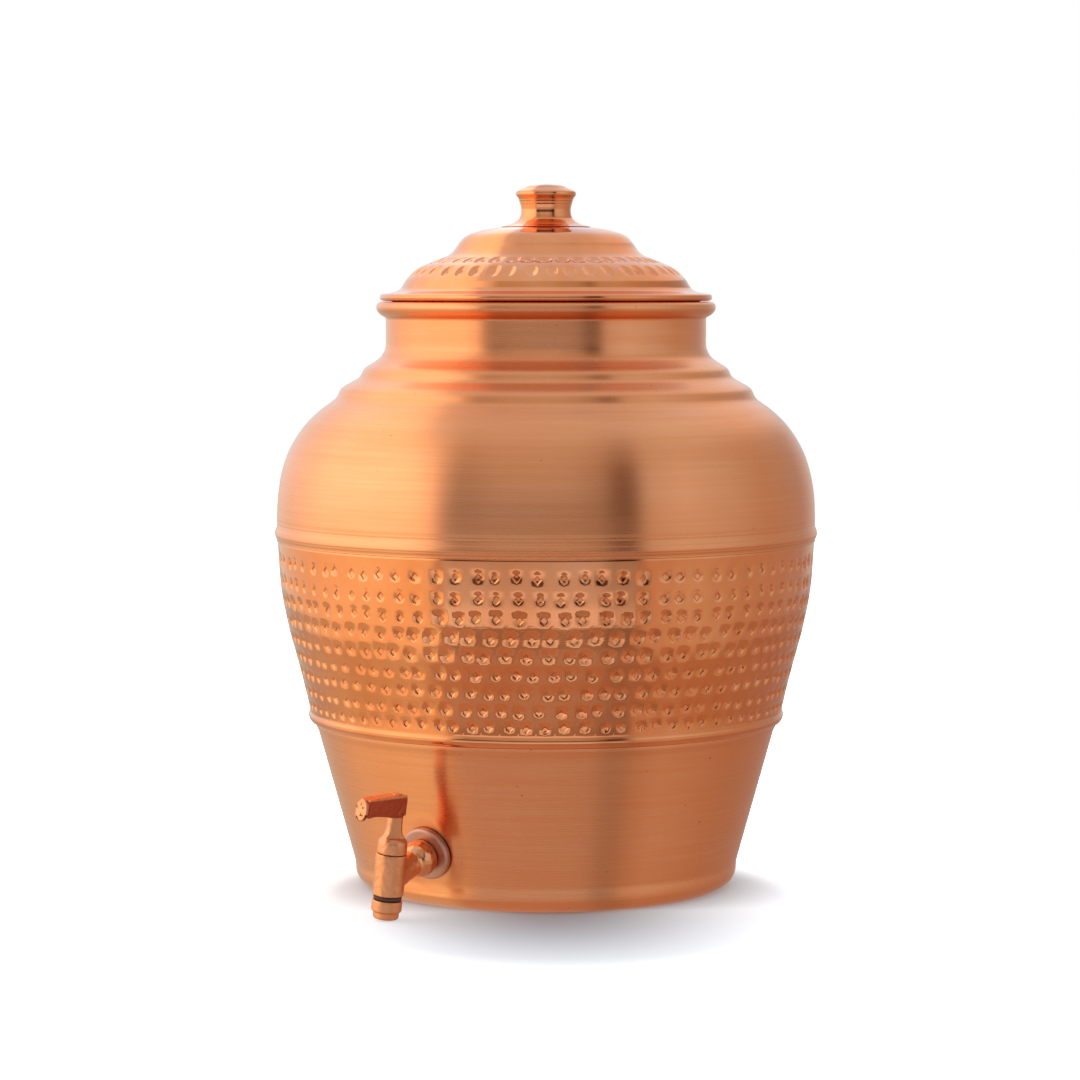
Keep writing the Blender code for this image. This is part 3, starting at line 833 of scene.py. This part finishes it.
def tap_lever():
    """Collar, cone, stem and lever in one casting; the lever ends in an oval pad."""
    stem = curve([(7.75, 16.15), (7.8, 18.5), (7.75, 21.6), (7.5, 22.8), (6.7, 23.9),
                  (5.5, 25.4), (4.7, 27.0), (4.3, 29.0), (4.15, 32.0), (4.1, 35.0),
                  (4.1, 39.0)], 0.5)
    stem = np.vstack(([(0.0, 16.15)], stem, [(0.0, 39.0)]))
    lever = turned("tap_lever_fine", stem, 64, closed=False, place=KEY)
    facet = Matrix.Rotation(math.radians(65), 4, "Z")
    cut(lever, box_piece("facet", (-6, -9, 24.5), (6, -3.4, 36.3), KEY @ facet))
    side = [(-4.0, 36.6), (0.0, 36.3), (4.5, 36.1), (8.0, 36.5), (12.0, 37.1),
            (16.0, 37.6), (19.5, 37.7), (22.4, 37.2), (24.0, 38.0), (24.6, 41.0),
            (24.0, 45.0), (22.6, 46.9), (18.0, 47.3), (8.0, 47.5), (-3.0, 47.7),
            (-4.0, 47.2), (-4.3, 44.0)]
    half = LEVER_WIDTH / 2
    count = len(side)
    verts = [(x, -out, up) for x in (-half, half) for out, up in side]
    faces = [tuple(range(count)), tuple(range(2 * count - 1, count - 1, -1))]
    faces += [(i, (i + 1) % count, count + (i + 1) % count, count + i)
              for i in range(count)]
    combine(lever, to_object("lever_bar", verts, faces, KEY), "UNION")
    tilt = Matrix.Rotation(math.radians(82), 4, "X")
    pad_at = Matrix.Translation(Vector((0, -24.4, 41.3)) * MM)
    oval = Matrix.Diagonal((4.4, 6.0, 1.0, 1.0))
    pad = turned("pad", [(0.0, -1.3), (0.93, -1.1), (1.0, -0.4), (1.0, 0.7), (0.92, 1.3),
                         (0.0, 1.5)], 48, closed=False, place=KEY @ pad_at @ tilt @ oval)
    combine(lever, pad, "UNION")
    cast(lever, 0.28)
    peen = [(0.0, 46.5), (2.6, 46.5), (2.6, 47.75), (2.0, 48.0), (0.0, 48.05)]
    combine(lever, turned("peen", peen, 32, closed=False, place=KEY), "UNION")
    cut(lever, rod("socket", 5.5, 10.0, 21.0, KEY))
    show(lever, "tap_key", "tap_copper", LEVER_COPPER, "tap_lever")


def tap_nozzle():
    """Spout with a plain band and a thinner, rounded tip."""
    outline = curve([(7.6, -8.95), (7.95, -9.3), (8.0, -10.2), (8.0, -13.4), (7.9, -14.5),
                     (7.4, -15.0), (6.95, -15.3), (6.85, -16.2), (6.7, -18.0),
                     (6.5, -18.5), (6.1, -18.85)], 0.35)
    bore = [(4.6, -18.9), (4.2, -18.4), (4.1, -16.4), (2.75, -16.0), (2.75, -14.0),
            (5.5, -14.0), (5.5, -8.95)]
    piece = turned("tap_nozzle_fine", np.vstack((outline, bore)), 72, place=KEY, sharp=45)
    show(piece, "tap_key", "tap_copper", TAP_COPPER, "tap_nozzle")
    ring = np.vstack(([(5.5, -6.45), (5.5, -8.6)],
                      arc((7.0, -7.5), 0.5, 1.08, -90, 90, 10)))
    piece = turned("nozzle_seal_ring_fine", ring, 64, place=KEY, sharp=40)
    show(piece, "tap_key", "black_rubber", RED_RUBBER, "nozzle_seal_ring")


def plain_pieces():
    """Hidden CAD pieces whose shape is already right only get their materials."""
    for name, stuff in (("tap_plug", BRASS), ("plug_o_ring_lower", RUBBER),
                        ("plug_o_ring_upper", RUBBER)):
        mesh = frame["nodes"][name].data
        mesh.materials.clear()
        mesh.materials.append(stuff)


# ---- room, light and camera ----
PLAIN = (1.0, 1.0, 1.0)
WARM = (1.0, 1.05, 1.08)
RED = (1.0, 0.89, 0.88)
DEEP = (1.0, 0.60, 0.55)
SUN = (1.0, 0.97, 0.82)
EARTH = (1.0, 0.76, 0.66)
COOL = (1.0, 1.20, 1.50)
PALE = (1.0, 1.30, 1.65)
# The studio's brightness, by which part of the pot mirrors it to the camera: each ramp
# goes round the pot, and its stops are (twice the angle round from the camera's side,
# positive to its right; brightness; tint). A wide window of light stands on the left, a
# dim wall with a dark gap beside it in front, and a weaker light on the right.
TOP = ((-180, 0.42, WARM), (-137, 0.5, WARM), (-106, 0.72, WARM), (-75, 0.78, WARM),
       (-64, 0.72, WARM), (-56, 0.42, COOL), (-40, 0.375, COOL), (40, 0.37, COOL),
       (85, 0.42, COOL), (110, 0.47, WARM), (137, 0.46, WARM), (180, 0.42, WARM))
OVERHEAD = ((-180, 0.38, WARM), (-137, 0.5, WARM), (-106, 0.74, WARM), (-75, 0.76, WARM),
            (-58, 0.66, WARM), (-47, 0.44, WARM), (-38, 0.29, PLAIN), (0, 0.3, WARM),
            (25, 0.25, PLAIN), (35, 0.18, RED), (45, 0.28, WARM), (60, 0.3, WARM),
            (81, 0.275, PLAIN), (106, 0.235, PLAIN), (140, 0.225, PLAIN), (180, 0.38, WARM))
ABOVE = ((-180, 0.38, WARM), (-137, 0.54, WARM), (-106, 0.82, WARM), (-60, 0.84, WARM),
         (-50, 0.68, WARM), (-44, 0.34, RED), (-38, 0.19, RED), (-20, 0.27, RED),
         (10, 0.27, RED), (24, 0.21, RED), (30, 0.08, DEEP), (37, 0.08, DEEP),
         (43, 0.33, COOL), (60, 0.38, COOL), (85, 0.32, COOL), (106, 0.275, PLAIN),
         (140, 0.23, PLAIN), (180, 0.38, WARM))
LEVEL = ((-180, 0.38, SUN), (-137, 0.46, SUN), (-106, 0.56, SUN), (-62, 0.56, SUN),
         (-50, 0.5, SUN), (-45, 0.28, RED), (-40, 0.25, RED), (22, 0.24, RED),
         (28, 0.18, RED), (37, 0.18, RED), (44, 0.31, RED), (62, 0.32, PLAIN),
         (106, 0.27, RED), (140, 0.24, RED), (180, 0.38, SUN))
BELOW = ((-180, 0.3, SUN), (-137, 0.28, SUN), (-106, 0.35, SUN), (-62, 0.35, SUN),
         (-48, 0.27, EARTH), (-36, 0.26, EARTH), (0, 0.245, EARTH), (24, 0.225, EARTH),
         (33, 0.18, EARTH), (42, 0.195, EARTH), (58, 0.255, EARTH), (81, 0.24, EARTH),
         (106, 0.22, EARTH), (150, 0.21, EARTH), (180, 0.3, SUN))
# The tilts, in degrees, over which the surface that mirrors passes from ramp to ramp.
BELOW_TO_LEVEL = (-19.2, -15.0)
LEVEL_TO_ABOVE = (-5.0, -1.0)
ABOVE_TO_OVERHEAD = (15.0, 30.0)
OVERHEAD_TO_TOP = (31.0, 36.0)
# Of the front wall alone, by tilt: floor, dim, pale strip at eye level, dark strip, and
# the wall above it. Each stop is (tilt, brightness, tint).
FRONT = ((-45, 1.15, PLAIN), (-18.8, 1.0, PLAIN), (-17.6, 1.05, COOL), (-15.5, 0.78, PLAIN),
         (-14.1, 0.72, PLAIN), (-13.5, 1.90, PALE), (-10.5, 1.75, PALE), (-6, 1.25, PALE),
         (-2.2, 1.10, PALE), (-1.2, 0.25, PLAIN),
         (5.5, 0.25, PLAIN), (7.2, 1.30, PALE), (10, 1.17, PALE), (15, 1.10, PALE),
         (20, 1.0, PLAIN))
FRONT_SIDES = (-46, -43, 37, 40)   # where the front wall begins and ends
STUDIO_STRENGTH = 4.0


def azimuth_ramp(tree, turn, stops):
    return ramp(tree, turn, [((angle + 180) / 360, tuple(grey * t for t in tint))
                             for angle, grey, tint in stops])


def tilt_place(degrees):
    return (degrees + 90) / 180


def step_up(tree, value, low, high):
    """0 where the value is under low, 1 over high, smooth between."""
    made = node(tree, "ShaderNodeMapRange", interpolation_type="SMOOTHSTEP", Value=value)
    made.inputs[1].default_value, made.inputs[2].default_value = low, high
    return made.outputs[0]


def room():
    """A plain studio: white behind, lit from the left, dimmer in front and right."""
    world = bpy.data.worlds.new("studio")
    bpy.context.scene.world = world
    world.use_nodes = True
    tree = world.node_tree
    tree.nodes.clear()
    towards = node(tree, "ShaderNodeTexCoord").outputs["Generated"]
    facing = node(tree, "ShaderNodeVectorRotate", rotation_type="Z_AXIS",
                  Vector=towards, Angle=-VIEW_AZIMUTH).outputs[0]
    x, y, z = node(tree, "ShaderNodeSeparateXYZ", i0=facing).outputs
    reach = math_node(tree, "SUBTRACT", 1.0, y)
    round_pot = math_node(tree, "ARCTAN2", x, reach)
    turn = math_node(tree, "MULTIPLY_ADD", round_pot, 1 / math.pi)
    flat = node(tree, "ShaderNodeCombineXYZ", i0=x, i1=reach).outputs[0]
    flat = node(tree, "ShaderNodeVectorMath", operation="LENGTH", i0=flat).outputs["Value"]
    tilt = math_node(tree, "MULTIPLY_ADD", math_node(tree, "ARCTAN2", z, flat), 1 / math.pi)
    for scaled in (turn, tilt):
        scaled.node.inputs[2].default_value = 0.5
    light = azimuth_ramp(tree, turn, BELOW)
    for stops, blend in ((LEVEL, BELOW_TO_LEVEL), (ABOVE, LEVEL_TO_ABOVE),
                         (OVERHEAD, ABOVE_TO_OVERHEAD), (TOP, OVERHEAD_TO_TOP)):
        start, end = [tilt_place(degrees) for degrees in blend]
        light = mix_colour(tree, step_up(tree, tilt, start, end), light,
                           azimuth_ramp(tree, turn, stops))
    front = ramp(tree, turn, [((angle + 180) / 360, value) for angle, value in
                              zip(FRONT_SIDES, (0.0, 1.0, 1.0, 0.0))])
    by_tilt = ramp(tree, tilt, [(tilt_place(degrees), tuple(grey / 2 * t for t in tint))
                                for degrees, grey, tint in FRONT])
    doubled = mix_colour(tree, front, (0.5, 0.5, 0.5), by_tilt)
    light = mix_colour(tree, 1.0, light, doubled, "MULTIPLY")
    seen = node(tree, "ShaderNodeBackground", Color=light, Strength=STUDIO_STRENGTH)
    white = node(tree, "ShaderNodeBackground", Color=(1, 1, 1, 1), Strength=1.0)
    ray = node(tree, "ShaderNodeLightPath").outputs["Is Camera Ray"]
    both = node(tree, "ShaderNodeMixShader", i0=ray, i1=seen.outputs[0],
                i2=white.outputs[0])
    node(tree, "ShaderNodeOutputWorld", Surface=both.outputs[0])


FLOOR_GREY = 0.5
GLOW_LOW, GLOW_ADDED = 0.05, 0.8    # the floor's own glow where it paints shade by the pot, and the glow added further off
PAINTED_SHADE_PLACE = (0.005, -0.110, 0.0)  # middle of the painted soft shade, in front of the pot
PAINTED_SHADE_SIZE = (0.150, 0.235, 1.0)    # its half width and half depth
PAINTED_CONTACT_SHADE = (0.075, 0.165)      # a painted darker ring of shade round the foot ends between these


def floor():
    """A plain pale floor, white further off; its glow paints a soft shade in front of the pot
    and a darker ring round its foot.
    """
    mesh = bpy.data.meshes.new("floor")
    mesh.from_pydata([(-3, -3, 0), (3, -3, 0), (3, 3, 0), (-3, 3, 0)], [], [(0, 1, 2, 3)])
    made = bpy.data.objects.new("floor", mesh)
    bpy.context.collection.objects.link(made)
    stuff, tree, shader = new_material("pale_floor", (FLOOR_GREY,) * 3, 0.9, 0.0)
    place = object_place(tree)
    shade = node(tree, "ShaderNodeMapping", vector_type="TEXTURE", i0=place,
                 Location=Matrix.Rotation(VIEW_AZIMUTH, 3, "Z") @ Vector(PAINTED_SHADE_PLACE),
                 Rotation=(0, 0, VIEW_AZIMUTH), Scale=PAINTED_SHADE_SIZE).outputs[0]
    away, beside = [node(tree, "ShaderNodeVectorMath", operation="LENGTH",
                         i0=where).outputs["Value"] for where in (shade, place)]
    # painted shade: the floor's glow is held low in an oval in front of the pot and in a ring
    # round its foot
    far = math_node(tree, "MINIMUM", step_up(tree, away, 0.0, 1.0),
                    step_up(tree, beside, *PAINTED_CONTACT_SHADE))
    shader.inputs["Emission Color"].default_value = (1, 1, 1, 1)
    glow = math_node(tree, "MULTIPLY", far, GLOW_ADDED)
    feed(shader, "Emission Strength", math_node(tree, "ADD", glow, GLOW_LOW))
    mesh.materials.append(stuff)
    made.visible_glossy = False


LAMP_PLACE = (-0.06, 0.55, 1.3)     # behind the pot, as the camera sees it
LAMP_TARGET = (0, 0, 0.1)


def lights():
    """One soft overhead light casts the pot's shadow on the floor, on top of the floor's painted
    shade.
    """
    lamp = bpy.data.lights.new("overhead", "AREA")
    lamp.shape = "DISK"
    lamp.size = 0.65
    lamp.energy = 46
    made = bpy.data.objects.new("overhead", lamp)
    made.location = Matrix.Rotation(VIEW_AZIMUTH, 3, "Z") @ Vector(LAMP_PLACE)
    made.rotation_euler = (Vector(LAMP_TARGET) - made.location).to_track_quat(
        "-Z", "Y").to_euler()
    made.visible_glossy = False
    bpy.context.collection.objects.link(made)


def camera():
    """Long lens, 1.9 m away and a little above the pot's middle, looking 4 deg down."""
    distance, height, tilt = 1.908, 0.331, math.radians(4.194)
    beside = -0.0033
    to_camera = Vector((math.sin(VIEW_AZIMUTH), -math.cos(VIEW_AZIMUTH), 0))
    right = Vector((math.cos(VIEW_AZIMUTH), math.sin(VIEW_AZIMUTH), 0))
    data = bpy.data.cameras.new("camera")
    data.lens, data.sensor_width = 115.0, 36.0
    made = bpy.data.objects.new("camera", data)
    made.location = to_camera * distance + Vector((0, 0, height))
    target = right * beside + Vector((0, 0, height - distance * math.tan(tilt)))
    made.rotation_euler = (target - made.location).to_track_quat("-Z", "Y").to_euler()
    bpy.context.collection.objects.link(made)
    bpy.context.scene.camera = made
    bpy.context.scene.view_settings.view_transform = "Standard"


BRUSHED = brushed_copper()
HAMMERED = polished_copper("hammered_copper", 0.06)
POLISHED = polished_copper("polished_copper", 0.075)
KNOB_COPPER = polished_copper("knob_copper", 0.10)
BODY_COPPER = cast_copper("tap_body_copper", 0.38, boss=True)
TAP_COPPER = cast_copper("tap_copper", 0.38)
LEVER_COPPER = cast_copper("lever_copper", 0.36, painted_shade_and_wear=True)
WASHER_COPPER = cast_copper("washer_copper", 0.46, WASHER_PINK)
BRASS = turned_brass()
RUBBER = rubber("black_rubber", (0.012, 0.008, 0.007), (0.034, 0.022, 0.018))
RED_RUBBER = rubber("red_rubber", (0.055, 0.014, 0.008), (0.10, 0.026, 0.015))

camera()
room()
floor()
lights()
upper_shell()
hammered_band()
lower_shell()
lid_shell()
lid_collar()
lid_knob()
knob_fixing()
tap_body()
tap_mounting()
tap_lever()
tap_nozzle()
plain_pieces()
